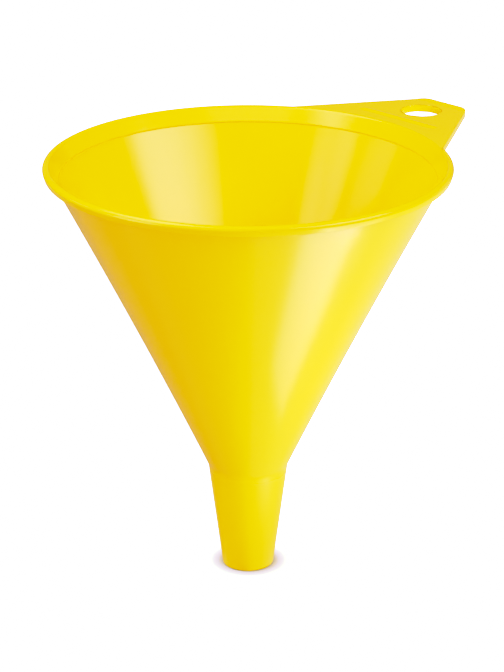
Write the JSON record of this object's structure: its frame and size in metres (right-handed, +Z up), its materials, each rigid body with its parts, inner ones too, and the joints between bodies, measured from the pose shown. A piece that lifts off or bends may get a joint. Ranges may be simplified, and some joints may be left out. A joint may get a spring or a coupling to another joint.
{
  "type": "utility funnel",
  "caption": "Plastic utility funnel: conical bowl with a flared, turned-down rim, tapered spout and a flat hang tab with a round hole.",
  "frame": {"origin": "middle of the object's outline in plan, in the plane that the spout's tip stands on; the funnel's own axis stands at x = -0.023 m, because the hang tab reaches out to +X", "axes": "+Z up along the funnel's axis from the spout's tip to the mouth, +X along the middle line of the hang tab, +Y across the tab"},
  "size_m": [0.249, 0.203, 0.2205],
  "materials": {
    "yellow_polyethylene": "glossy injection-moulded polyethylene"
  },
  "bodies": {
    "root": {"bowl": "yellow_polyethylene", "rim_collar": "yellow_polyethylene", "rim_lip": "yellow_polyethylene", "spout": "yellow_polyethylene", "hang_tab": "yellow_polyethylene", "tab_rib": "yellow_polyethylene"}
  },
  "joints": []
}
